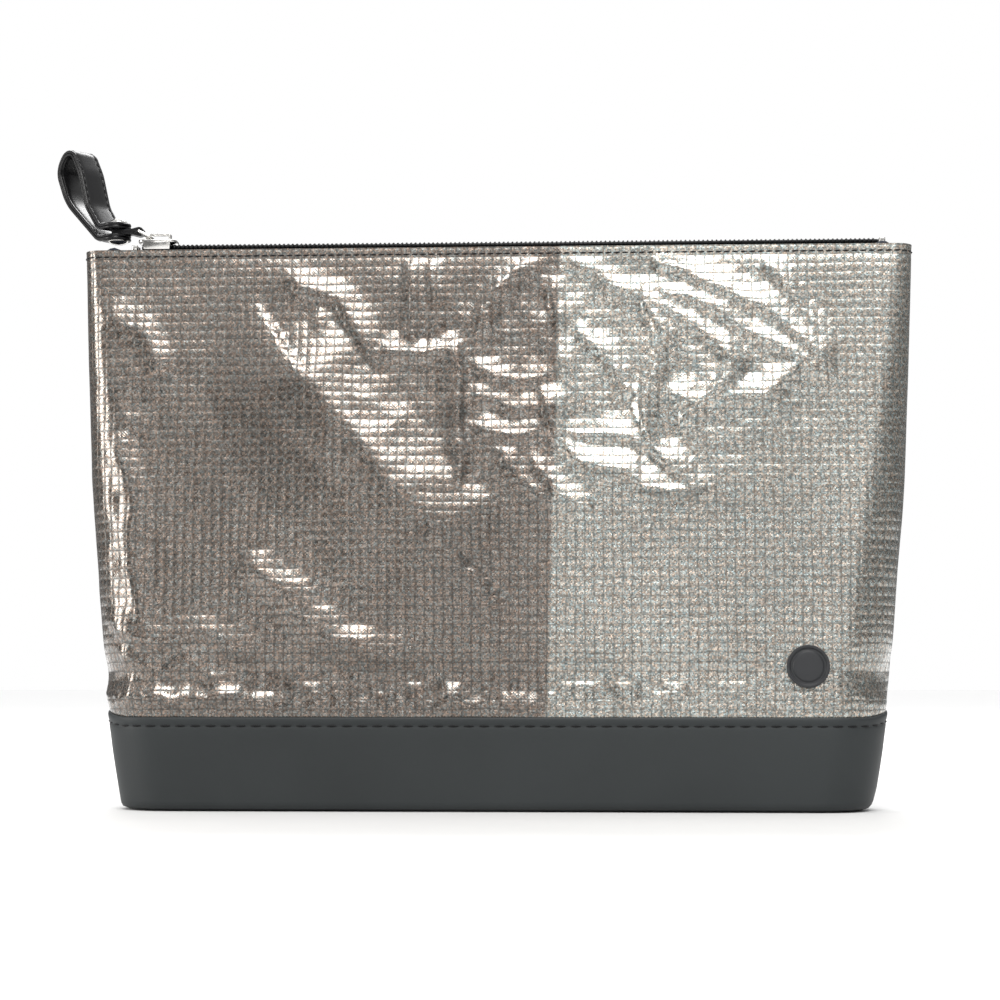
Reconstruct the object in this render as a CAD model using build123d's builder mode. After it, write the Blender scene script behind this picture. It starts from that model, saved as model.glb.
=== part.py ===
"""Zip pouch with a leather base band, a coil zip and a riveted leather pull strap.

The origin is the centre of the flat base, +X runs along the zip towards its bottom stop,
the front faces -Y and +Z is up. All sizes are in millimetres.
"""

from build123d import *
from math import cos, radians, sin
import os

os.makedirs("parts", exist_ok=True)

# Overall shape of the pouch
pouch_height = 190.0
mouth_width = 280.4
mouth_depth = 13.0
chest_height = 145.0  # where the walls stop filling out
chest_width = 277.0
chest_depth = 26.0
belly_height = 105.0
belly_width = 273.2
belly_depth = 37.0
shoulder_rise = 6.0  # the laminate swells out this far above the band
shoulder_width = 262.0
shoulder_depth = 47.0
end_round = 0.42  # corner radius as a share of the depth, at every height

# Leather band round the base
band_height = 31.0
band_top_width = 261.0
band_top_depth = 48.0
band_foot_width = 252.0
band_foot_depth = 46.0
band_foot_round = 3.5
band_turn_under = 8.0
leather = 1.3
seam_overlap = 7.0

# Sheet goods
laminate = 0.6
lining = 0.5
board = 2.0
ply_gap = 0.1
binding_reach = 6.0
binding_thickness = 2.0
thread = 0.4
thread_width = 0.5
mouth_stitch_drop = 2.4
band_stitch_drop = 2.7

# Zip
tape = 0.5
tape_drop = 0.7  # below the laminate's top edge
tape_leg = 10.0
tape_end_gap = 7.2  # from the side of the mouth
coil_end_gap = 4.0  # from the tape's end
coil_height = 2.5
coil_width = 2.3  # of one side
stop_length = 2.0
stop_gap = 0.3
stop_lower = 0.5  # top stops stand this much lower than the coil

# Slider
running_gap = 0.3
slider_end_gap = 11.0  # from the tape's end, with the zip shut
slider_length = 13.0
slider_round = 2.0
slider_plate = 1.1
slider_flange = 1.0
post_half = 0.35
post_gap = 0.25
post_length = 3.0
coil_lead = 1.0  # the coil starts this far behind the slider's nose
bridge_start = 2.0  # from the slider's nose
bridge_length = 8.8
bridge_width = 2.2
bridge_wall = 0.8
bridge_round = 0.75

# Link between the slider and the strap
ring_wire = 1.0
ring_play = 0.375  # above and below the wire under the bridge
ring_foot_gap = 0.8  # between the wire and the bridge's foot
ring_side_gap = 0.7  # on each side of the keeper
ring_round = 1.0
ring_rise = 28.0  # degrees above the zip

# Pull strap
strap_turn = 42.0  # degrees from the zip's line, seen from above
strap_width = 10.0
strap_leather = 1.1
strap_backing = 0.9
strap_thread_inset = 1.2
keeper_width = 4.0
keeper_leaf = 1.0
keeper_gap = 0.56  # from the bridge's foot
keeper_slack = 0.82
pin_clearance = 0.08
rivet_cap_height = 1.1
rivet_shank = 1.5
rivet_thread_gap = 0.05
tail_gap = 0.1
tail_flat = 0.4
bend_room = 2.0

# Round badge on the front
badge_from_side = 28.0
badge_height = 47.5
badge_radius = 7.0
badge_thickness = 1.5
badge_rim = 1.2

# Walls, worked out from the sizes above
tuck = leather + ply_gap
panel_foot = band_height - seam_overlap
lining_inset = laminate + ply_gap
lining_foot = leather + board

# Zip and slider
tape_top = pouch_height - tape_drop
tape_bottom = tape_top - tape
tape_half_length = mouth_width / 2 - tape_end_gap
slot_half = post_half + post_gap
coil_top = tape_top + coil_height
coil_end = tape_half_length - coil_end_gap
slider_start = slider_end_gap - tape_half_length
coil_start = slider_start + coil_lead
slider_width = 2 * (slot_half + coil_width + running_gap + slider_flange)
plate_bottom = coil_top + running_gap
plate_top = plate_bottom + slider_plate

# Link, keeper and rivet
bridge_foot = slider_start + bridge_start
bridge_gap = ring_wire + 2 * ring_play
link_x = bridge_foot + bridge_wall + ring_foot_gap + ring_wire / 2
link_z = plate_top + bridge_gap / 2
keeper_bore = ring_wire / 2 + pin_clearance
keeper_radius = keeper_bore + keeper_leaf
pin_x = bridge_foot - keeper_gap - keeper_radius
ring_length = (link_x - pin_x) / cos(radians(ring_rise))
ring_width = keeper_width + ring_wire + 2 * ring_side_gap
pin_z = link_z + ring_length * sin(radians(ring_rise))
keeper_flat_end = pin_x - keeper_radius - keeper_slack
rivet_x = keeper_flat_end - strap_width / 2
keeper_tail = rivet_x - keeper_width / 2
thread_row = strap_width / 2 - strap_thread_inset
rivet_cap_radius = thread_row - thread_width / 2 - rivet_thread_gap

# Height, width and depth of the cloth walls' outer face, from the floor to the mouth
wall_stations = [
    (0.0, band_foot_width - 2 * tuck, band_foot_depth - 2 * tuck),
    (band_height, band_top_width - 2 * tuck, band_top_depth - 2 * tuck),
    (band_height + shoulder_rise, shoulder_width, shoulder_depth),
    (belly_height, belly_width, belly_depth),
    (chest_height, chest_width, chest_depth),
    (pouch_height, mouth_width, mouth_depth),
]
band_stations = [
    (0.0, band_foot_width, band_foot_depth),
    (band_height, band_top_width, band_top_depth),
]


def size_at(stations, z):
    """Width and depth of a wall's outer face at one height."""
    for (low, low_width, low_depth), (high, high_width, high_depth) in zip(stations, stations[1:]):
        if z <= high:
            share = (z - low) / (high - low)
            width = low_width + share * (high_width - low_width)
            depth = low_depth + share * (high_depth - low_depth)
            return width, depth
    return stations[-1][1:]


def levels(stations, low, high):
    """The heights at which a wall between low and high needs a section."""
    return [low] + [z for z, _, _ in stations if low < z < high] + [high]


def outline(stations, z, inset):
    """The wall's outline at one height, moved inwards by inset."""
    width, depth = size_at(stations, z)
    corner = end_round * depth - inset
    with BuildSketch(Plane.XY.offset(z)) as section:
        RectangleRounded(width - 2 * inset, depth - 2 * inset, corner)
    return section.sketch


def filled(stations, low, high, inset, mode=Mode.ADD):
    """Everything within the wall between two heights, added to the part being built."""
    sections = [outline(stations, z, inset) for z in levels(stations, low, high)]
    loft(sections, ruled=True, mode=mode)


def finish(piece, name):
    """Name one finished piece and write it."""
    piece.part.label = name
    export_step(piece.part, f"parts/{name}.step")


def wall_half(name, stations, low, high, inset, wall, side):
    """Front or back half of a wall that runs round the pouch."""
    with BuildPart() as piece:
        filled(stations, low, high, inset)
        filled(stations, low, high, inset + wall, Mode.SUBTRACT)
        split(bisect_by=Plane.XZ, keep=side)
    finish(piece, name)


sides = {"front": Keep.TOP, "back": Keep.BOTTOM}

# Walls, linings and the threads that hold them
mouth_stitch_z = pouch_height - mouth_stitch_drop
band_stitch_z = band_height - band_stitch_drop
for side, keep in sides.items():
    wall_half(f"{side}_panel", wall_stations, panel_foot, pouch_height, 0.0, laminate, keep)
    wall_half(
        f"lining_{side}",
        wall_stations,
        lining_foot,
        tape_bottom - tape_leg - ply_gap,
        lining_inset,
        lining,
        keep,
    )
    wall_half(
        f"mouth_stitching_{side}",
        wall_stations,
        mouth_stitch_z - thread_width,
        mouth_stitch_z,
        -thread - ply_gap,
        thread,
        keep,
    )
    wall_half(
        f"band_stitching_{side}",
        band_stations,
        band_stitch_z - thread_width,
        band_stitch_z,
        -thread - ply_gap,
        thread,
        keep,
    )

# Leather band: it wraps under the pouch and meets the base panel there
for side, keep in sides.items():
    with BuildPart() as base_band:
        filled(band_stations, 0.0, band_height, 0.0)
        fillet(base_band.edges().group_by(Axis.Z)[0], radius=band_foot_round)
        filled(band_stations, leather, band_height, leather, Mode.SUBTRACT)
        extrude(outline(band_stations, 0.0, band_turn_under), amount=leather, mode=Mode.SUBTRACT)
        split(bisect_by=Plane.XZ, keep=keep)
    finish(base_band, f"base_band_{side}")

# Base: leather outside, a stiff board, then the lining's floor
with BuildPart() as base_panel:
    extrude(outline(band_stations, 0.0, band_turn_under), amount=leather)
finish(base_panel, "base_panel")

with BuildPart() as base_board:
    extrude(outline(band_stations, leather, leather + ply_gap), amount=board)
finish(base_board, "base_board")

with BuildPart() as lining_base:
    extrude(outline(wall_stations, lining_foot, lining_inset + lining + ply_gap), amount=lining)
finish(lining_base, "lining_base")

# Bound seam allowances inside, up both ends
binding_foot = lining_foot + lining + ply_gap
binding_top = tape_bottom - tape_leg
with BuildPart() as seam_ring:
    binding_inset = lining_inset + lining + ply_gap
    filled(wall_stations, binding_foot, binding_top, binding_inset)
    for z in levels(wall_stations, binding_foot, binding_top):
        clear_width = size_at(wall_stations, z)[0] - 2 * (binding_inset + binding_reach)
        with BuildSketch(Plane.XY.offset(z)):
            Rectangle(clear_width, 2 * binding_thickness)
    loft(ruled=True, mode=Mode.SUBTRACT)
    with BuildSketch():
        Rectangle(2 * mouth_width, binding_thickness)
    extrude(amount=pouch_height, mode=Mode.INTERSECT)
for side, keep in {"left": Keep.BOTTOM, "right": Keep.TOP}.items():
    with BuildPart() as side_seam:
        add(seam_ring.part)
        split(bisect_by=Plane.YZ, keep=keep)
    finish(side_seam, f"side_seam_{side}")

# Zip tapes: each lies flat under its coil and turns down inside its panel
lip_y = size_at(wall_stations, tape_top)[1] / 2 - lining_inset
for side, keep in sides.items():
    sign = -1 if side == "front" else 1
    with BuildPart() as zip_tape:
        filled(wall_stations, tape_bottom - tape_leg, tape_top, lining_inset)
        filled(wall_stations, tape_bottom - tape_leg, tape_top, lining_inset + tape, Mode.SUBTRACT)
        with BuildSketch(Plane.XY.offset(tape_bottom)):
            with Locations((0, sign * (slot_half + lip_y) / 2)):
                Rectangle(2 * tape_half_length, lip_y - slot_half)
        extrude(amount=tape)
        with BuildSketch(Plane.XY.offset(tape_bottom - tape_leg)):
            Rectangle(2 * tape_half_length, mouth_width)
        extrude(amount=tape_leg + tape, mode=Mode.INTERSECT)
        split(bisect_by=Plane.XZ, keep=keep)
    finish(zip_tape, f"zip_tape_{side}")

# Coils: plain strips with a slot between them for the slider's post
coil_middle = (coil_start + coil_end) / 2
for side in sides:
    sign = -1 if side == "front" else 1
    with BuildPart() as zip_coil:
        with BuildSketch(Plane.XY.offset(tape_top)):
            with Locations((coil_middle, sign * (slot_half + coil_width / 2))):
                Rectangle(coil_end - coil_start, coil_width)
        extrude(amount=coil_height)
        crown = zip_coil.edges().filter_by(Axis.X).group_by(Axis.Z)[-1]
        fillet(crown, radius=coil_width / 3)
    finish(zip_coil, f"zip_coil_{side}")

# Metal stops at both ends of the coils
with BuildPart() as zip_top_stops:
    with BuildSketch(Plane.XY.offset(tape_top)):
        with Locations((slider_start - stop_gap - stop_length / 2, 0)):
            with GridLocations(0, 2 * slot_half + coil_width, 1, 2):
                RectangleRounded(stop_length, coil_width, 0.5)
    extrude(amount=coil_height - stop_lower)
finish(zip_top_stops, "zip_top_stops")

with BuildPart() as zip_bottom_stop:
    with BuildSketch(Plane.XY.offset(tape_top)):
        with Locations((coil_end + stop_gap + stop_length / 2, 0)):
            RectangleRounded(stop_length, 2 * (slot_half + coil_width), 0.5)
    extrude(amount=coil_height)
finish(zip_bottom_stop, "zip_bottom_stop")

# Slider: top plate, flanges, divider post and bottom plate in one casting
slider_middle = slider_start + slider_length / 2
flange_foot = tape_top + running_gap
under_plate = tape_bottom - running_gap
with BuildPart() as slider_body:
    with BuildSketch(Plane.XY.offset(plate_bottom)):
        with Locations((slider_middle, 0)):
            RectangleRounded(slider_length, slider_width, slider_round)
    extrude(amount=slider_plate)
    fillet(slider_body.edges().group_by(Axis.Z)[-1], radius=slider_plate / 3)
    with BuildSketch(Plane.XY.offset(flange_foot)):
        with Locations((slider_middle, 0)):
            with GridLocations(0, slider_width - slider_flange, 1, 2):
                Rectangle(slider_length - 2 * slider_round, slider_flange)
    extrude(amount=plate_bottom - flange_foot)
    with BuildSketch(Plane.XY.offset(under_plate)):
        with Locations((slider_start + slider_round / 2 + post_length / 2, 0)):
            Rectangle(post_length, 2 * post_half)
    extrude(amount=plate_bottom - under_plate)
    with BuildSketch(Plane.XY.offset(under_plate - slider_plate)):
        with Locations((slider_middle, 0)):
            RectangleRounded(slider_length - slider_round, slider_width - slider_flange, slider_round)
    extrude(amount=slider_plate)
finish(slider_body, "slider_body")

# Bridge over the slider that the link hangs from
bridge_middle = bridge_foot + bridge_length / 2
above = (Align.CENTER, Align.MIN)
with BuildPart() as slider_bridge:
    with BuildSketch(Plane.XZ):
        with Locations((bridge_middle, plate_top)):
            Rectangle(bridge_length, bridge_gap + bridge_wall, align=above)
            Rectangle(bridge_length - 2 * bridge_wall, bridge_gap, align=above, mode=Mode.SUBTRACT)
    extrude(amount=bridge_width / 2, both=True)
    upper = slider_bridge.edges().filter_by(Axis.Y).group_by(Axis.Z)[-1]
    fillet(upper, radius=bridge_round)
finish(slider_bridge, "slider_bridge")

# Link: a rounded rectangle of wire, from under the bridge out to the strap's keeper
ring_plane = Plane(
    origin=(link_x, 0, link_z),
    x_dir=(-cos(radians(ring_rise)), 0, sin(radians(ring_rise))),
    z_dir=(sin(radians(ring_rise)), 0, cos(radians(ring_rise))),
)
with BuildPart() as pull_ring:
    with BuildLine(ring_plane) as ring_path:
        FilletPolyline(
            (0, ring_width / 2),
            (ring_length, ring_width / 2),
            (ring_length, -ring_width / 2),
            (0, -ring_width / 2),
            radius=ring_round,
            close=True,
        )
    with BuildSketch(Plane(origin=ring_path.line @ 0, z_dir=ring_path.line % 0)):
        Circle(ring_wire / 2)
    sweep(path=ring_path.line)
finish(pull_ring, "pull_ring")

# Keeper: a narrow leather leaf folded round the link, with the rivet through its tail
with BuildPart() as strap_keeper:
    with BuildSketch(Plane.XZ):
        with Locations((pin_x, pin_z)):
            Circle(keeper_radius)
        with Locations((keeper_flat_end, pin_z)):
            Rectangle(keeper_slack, 2 * keeper_leaf, align=(Align.MIN, Align.CENTER))
        make_hull()
        with Locations((keeper_tail, pin_z)):
            Rectangle(keeper_flat_end - keeper_tail, 2 * keeper_leaf, align=(Align.MIN, Align.CENTER))
        with Locations((pin_x, pin_z)):
            Circle(keeper_bore, mode=Mode.SUBTRACT)
    extrude(amount=keeper_width / 2, both=True)
    with BuildSketch(Plane.XY.offset(pin_z)):
        with Locations((rivet_x, 0)):
            Circle(rivet_shank + pin_clearance)
    extrude(amount=2 * keeper_leaf, both=True, mode=Mode.SUBTRACT)
finish(strap_keeper, "strap_keeper")

# Strap: one strip from under the keeper, round the loop and back over the keeper
strap_run = Vector(-cos(radians(strap_turn)), sin(radians(strap_turn)), 0)
strap_across = Vector(sin(radians(strap_turn)), cos(radians(strap_turn)), 0)
strap_plane = Plane(origin=(rivet_x, 0, pin_z), x_dir=strap_run, z_dir=strap_across)
leg_level = keeper_leaf + strap_backing  # where leather and backing meet, at the rivet
strap_tail = rivet_cap_radius + tail_gap
strap_bend = rivet_cap_radius + bend_room
tail_round = strap_width / 2 - tail_flat
strap_points = [
    (-strap_tail, -leg_level),
    (strap_bend, -leg_level),
    (24.0, 13.2),
    (29.8, 25.0),
    (23.0, 33.2),
    (16.6, 22.6),
    (12.4, 10.4),
    (strap_bend, leg_level),
    (-strap_tail, leg_level),
]
strap_bends = [5.0, 20.0, 5.8, 4.0, 20.0, 11.0, 4.0]

for name, ply, ply_side in [
    ("pull_strap", strap_leather, Side.RIGHT),
    ("strap_lining", strap_backing, Side.LEFT),
]:
    with BuildPart() as strap:
        with BuildSketch(strap_plane):
            with BuildLine():
                FilletPolyline(*strap_points, radius=strap_bends)
                offset(amount=ply, side=ply_side)
            make_face()
        extrude(amount=strap_width / 2, both=True)
        fillet(strap.edges().filter_by(Axis.Z), radius=tail_round)
        with BuildSketch(Plane.XY.offset(pin_z)):
            with Locations((rivet_x, 0)):
                Circle(rivet_shank + pin_clearance)
        extrude(amount=2 * leg_level, both=True, mode=Mode.SUBTRACT)
    finish(strap, name)

# Two rows of thread along the strap's outer face
with BuildPart() as strap_stitching:
    for row in (-thread_row, thread_row):
        with BuildSketch(strap_plane.offset(row - thread_width / 2)):
            with BuildLine():
                FilletPolyline(*strap_points, radius=strap_bends)
                offset(amount=strap_leather + thread, side=Side.RIGHT)
            make_face()
            with BuildLine():
                FilletPolyline(*strap_points, radius=strap_bends)
                offset(amount=strap_leather + ply_gap / 2, side=Side.RIGHT)
            make_face(mode=Mode.SUBTRACT)
        extrude(amount=thread_width)
finish(strap_stitching, "strap_stitching")

# Rivet: the post's head lies below the strap, the cap on top
head_level = leg_level + strap_leather
with BuildPart() as rivet_post:
    with BuildSketch(Plane.XY.offset(pin_z - head_level)):
        with Locations((rivet_x, 0)):
            Circle(rivet_cap_radius)
    extrude(amount=-rivet_cap_height)
    fillet(rivet_post.edges().group_by(Axis.Z)[0], radius=0.8 * rivet_cap_height)
    with BuildSketch(Plane.XY.offset(pin_z - head_level)):
        with Locations((rivet_x, 0)):
            Circle(rivet_shank)
    extrude(amount=2 * head_level)
finish(rivet_post, "rivet_post")

with BuildPart() as rivet_cap:
    with BuildSketch(Plane.XY.offset(pin_z + head_level)):
        with Locations((rivet_x, 0)):
            Circle(rivet_cap_radius)
    extrude(amount=rivet_cap_height)
    fillet(rivet_cap.edges().group_by(Axis.Z)[-1], radius=0.8 * rivet_cap_height)
finish(rivet_cap, "rivet_cap")

# Badge: a plain domed button with a raised rim, on the front panel's slope
shoulder_z = band_height + shoulder_rise
panel_lean = (shoulder_depth - belly_depth) / 2 / (belly_height - shoulder_z)
panel_y = size_at(wall_stations, badge_height)[1] / 2 + ply_gap
badge_plane = Plane(
    origin=(shoulder_width / 2 - badge_from_side, -panel_y, badge_height),
    x_dir=(1, 0, 0),
    z_dir=(0, -1, panel_lean),
)
with BuildPart() as badge:
    with BuildSketch(badge_plane):
        Circle(badge_radius)
    extrude(amount=badge_thickness)
    with BuildSketch(badge_plane.offset(badge_thickness)):
        Circle(badge_radius - badge_rim)
        Circle(badge_radius - 2 * badge_rim, mode=Mode.SUBTRACT)
    extrude(amount=-badge_thickness / 2, mode=Mode.SUBTRACT)
finish(badge, "badge")
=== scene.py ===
import math

import bmesh
import bpy
import numpy as np
from mathutils import Matrix, Vector


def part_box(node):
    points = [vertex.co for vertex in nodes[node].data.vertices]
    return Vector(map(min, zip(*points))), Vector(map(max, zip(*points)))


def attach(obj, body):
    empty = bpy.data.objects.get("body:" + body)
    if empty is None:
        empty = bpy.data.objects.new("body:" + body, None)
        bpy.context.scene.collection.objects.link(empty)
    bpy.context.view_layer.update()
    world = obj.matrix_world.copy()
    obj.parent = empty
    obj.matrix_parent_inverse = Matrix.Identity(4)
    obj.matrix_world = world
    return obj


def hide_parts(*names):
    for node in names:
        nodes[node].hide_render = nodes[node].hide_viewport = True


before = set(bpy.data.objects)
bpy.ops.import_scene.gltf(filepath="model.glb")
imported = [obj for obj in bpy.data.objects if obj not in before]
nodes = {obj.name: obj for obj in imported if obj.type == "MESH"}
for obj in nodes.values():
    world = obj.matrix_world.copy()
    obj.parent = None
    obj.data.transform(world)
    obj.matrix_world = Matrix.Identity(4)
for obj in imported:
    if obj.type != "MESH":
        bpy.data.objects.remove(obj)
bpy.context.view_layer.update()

mm = 0.001
finestGap = 0.001 * mm  # points nearer than this are one point


def deselectAll():
    if bpy.context.object and bpy.context.object.mode != "OBJECT":
        bpy.ops.object.mode_set(mode="OBJECT")
    bpy.ops.object.select_all(action="DESELECT")


def pick(piece):
    deselectAll()
    piece.select_set(True)
    bpy.context.view_layer.objects.active = piece


def applyModifiers(piece):
    pick(piece)
    for modifier in list(piece.modifiers):
        bpy.ops.object.modifier_apply(modifier=modifier.name)


def settle(piece):
    # a finished piece keeps its place in its mesh, with its object at the origin
    pick(piece)
    bpy.ops.object.transform_apply(location=True, rotation=True, scale=True)


def finishPiece(piece, name, body, material, stands=(), smooth=40):
    piece.name = name
    piece.data.name = name
    pick(piece)
    if smooth:
        bpy.ops.object.shade_smooth_by_angle(angle=math.radians(smooth))
    piece.data.materials.clear()
    piece.data.materials.append(material)
    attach(piece, body)
    if stands:
        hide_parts(*stands)
    return piece


def meshPiece(name, points, faces, edges=()):
    mesh = bpy.data.meshes.new(name)
    mesh.from_pydata([tuple(p) for p in points], edges, faces)
    piece = bpy.data.objects.new(name, mesh)
    bpy.context.scene.collection.objects.link(piece)
    return piece


def setClothMap(piece, uvs):
    # one place on the flat cloth, in metres, for each point of the mesh
    layer = piece.data.uv_layers.new(name="cloth")
    for loop in piece.data.loops:
        layer.data[loop.index].uv = uvs[loop.vertex_index]


def thicken(piece, thickness):
    solid = piece.modifiers.new("thickness", "SOLIDIFY")
    solid.thickness = thickness
    solid.offset = -1
    solid.use_even_offset = True
    applyModifiers(piece)


def roundEdges(piece, width, segments=1, angle=30):
    rounding = piece.modifiers.new("rounding", "BEVEL")
    rounding.width = width
    rounding.segments = segments
    rounding.limit_method = "ANGLE"
    rounding.angle_limit = math.radians(angle)
    applyModifiers(piece)


def joinPieces(pieces):
    # the first one takes in the others
    deselectAll()
    for piece in pieces:
        piece.select_set(True)
    bpy.context.view_layer.objects.active = pieces[0]
    bpy.ops.object.join()
    return pieces[0]


def faceOutwards(piece, gap=0.02 * mm):
    pick(piece)
    bpy.ops.object.mode_set(mode="EDIT")
    bpy.ops.mesh.select_all(action="SELECT")
    bpy.ops.mesh.remove_doubles(threshold=gap)
    bpy.ops.mesh.normals_make_consistent(inside=False)
    bpy.ops.object.mode_set(mode="OBJECT")


# the CAD walls change slope at a few levels, which hold most of their points
outline = {"cornerRound": 0.84, "easing": 6 * mm, "rimDrop": 1.0 * mm}


def readLevels(node, least=60):
    # each level that holds a whole ring of points, with half its width and depth
    points = np.array([v.co[:] for v in nodes[node].data.vertices])
    keys = np.round(points[:, 2], 4)
    levels, widths, depths = [], [], []
    for level in np.unique(keys):
        ring = points[keys == level]
        if len(ring) >= least:
            levels.append(level)
            widths.append(np.abs(ring[:, 0]).max())
            depths.append(np.abs(ring[:, 1]).max())
    return np.array(levels), np.array(widths), np.array(depths)


wallLevels, wallWidths, wallDepths = readLevels("front_panel")
bandLevels, bandWidths, bandDepths = readLevels("base_band_front")
mouthLevel = wallLevels[-1]
# the turned edge lies a little lower than the CAD wall, below the coils
rimLevel = mouthLevel - outline["rimDrop"]
bandTop = bandLevels[-1]
print("read", len(wallLevels), "levels of the walls and", len(bandLevels), "of the band")


def eased(levels, values, level):
    # the same slope change, eased over a few millimetres as cloth takes it
    shifts = (-1, -0.5, 0, 0.5, 1)
    return sum(np.interp(level + shift * outline["easing"], levels, values) for shift in shifts) / len(shifts)


def wallSize(level):
    # eased lower down, and exact at the mouth
    ease = min(1.0, (mouthLevel - level) / (2 * outline["easing"]))
    return tuple(ease * eased(wallLevels, values, level) + (1 - ease) * np.interp(level, wallLevels, values)
                 for values in (wallWidths, wallDepths))


def bandSize(level):
    return np.interp(level, bandLevels, bandWidths), np.interp(level, bandLevels, bandDepths)


def halfOutline(width, depth, share, inset=0.0):
    # along the front half, with share running 0 to 1 from left to right: points, outward directions,
    # how far each point is from the middle, and the whole length
    w, d = width - inset, depth - inset
    r = outline["cornerRound"] * d
    side, arc, run = d - r, math.pi * r / 2, 2 * (w - r)
    length = 2 * side + 2 * arc + run
    s = np.asarray(share) * length
    a = np.clip((s - side) / arc, 0, 1) * math.pi / 2
    b = np.clip((s - side - arc - run) / arc, 0, 1) * math.pi / 2
    last = np.clip(s - side - 2 * arc - run, 0, side)
    x = -w + r * (1 - np.cos(a)) + np.clip(s - side - arc, 0, run) + r * np.sin(b)
    y = -np.clip(s, 0, side) - r * np.sin(a) + r * (1 - np.cos(b)) + last
    turn = a + b
    return x, y, -np.cos(turn), -np.sin(turn), s - length / 2, length


def smoothNoise(u, v, size, seed):
    # rolling noise between -1 and 1, the same on every run
    draw = np.random.RandomState(seed)
    table = draw.uniform(-1, 1, (64, 64))
    gu, gv = u / size + 20, v / size + 20
    iu, iv = np.floor(gu).astype(int), np.floor(gv).astype(int)
    fu, fv = gu - iu, gv - iv
    fu, fv = fu * fu * (3 - 2 * fu), fv * fv * (3 - 2 * fv)
    low = table[iu % 64, iv % 64] * (1 - fu) + table[(iu + 1) % 64, iv % 64] * fu
    high = table[iu % 64, (iv + 1) % 64] * (1 - fu) + table[(iu + 1) % 64, (iv + 1) % 64] * fu
    return low * (1 - fv) + high * fv


crumpleArea = (-140, 140, 25, 190)  # left, right, bottom and top of a wall, in millimetres


def facets(u, v, spacing, seed):
    # shallow cones round scattered points, which meet in sharp creases as crumpled film does
    draw = np.random.RandomState(seed)
    u0, u1, v0, v1 = crumpleArea
    count = int((u1 - u0) * (v1 - v0) / spacing ** 2)
    centres = draw.uniform((u0, v0), (u1, v1), (count, 2))
    weights = draw.uniform(0.75, 1.25, count)
    nearest = np.full(u.shape, 1e9)
    for (cu, cv), weight in zip(centres, weights):
        nearest = np.minimum(nearest, np.hypot((u - cu) * weight, (v - cv) * (2 - weight)))
    return nearest / spacing - 0.5


def creaseLine(u, v, path, lit, shaded):
    # 1 on the line, falling to 0 over lit on its left and shaded on its right, as one travels along it
    best = np.full(u.shape, 1e9)
    value = np.zeros(u.shape)
    for (au, av), (bu, bv) in zip(path[:-1], path[1:]):
        du, dv = bu - au, bv - av
        size = du * du + dv * dv
        t = np.clip(((u - au) * du + (v - av) * dv) / size, 0, 1)
        away = np.hypot(u - au - t * du, v - av - t * dv)
        left = du * (v - av) - dv * (u - au) > 0
        nearer = away < best
        best = np.where(nearer, away, best)
        value = np.where(nearer, 1 - away / np.where(left, lit, shaded), value)
    return np.clip(value, 0, 1)


def patch(u, v, cu, cv, ru, rv, turn=0):
    # a soft-edged oval
    c, s = math.cos(math.radians(turn)), math.sin(math.radians(turn))
    a = ((u - cu) * c + (v - cv) * s) / ru
    b = (-(u - cu) * s + (v - cv) * c) / rv
    return np.clip(1.6 * (1 - np.hypot(a, b)) + 0.2, 0, 1)


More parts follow.
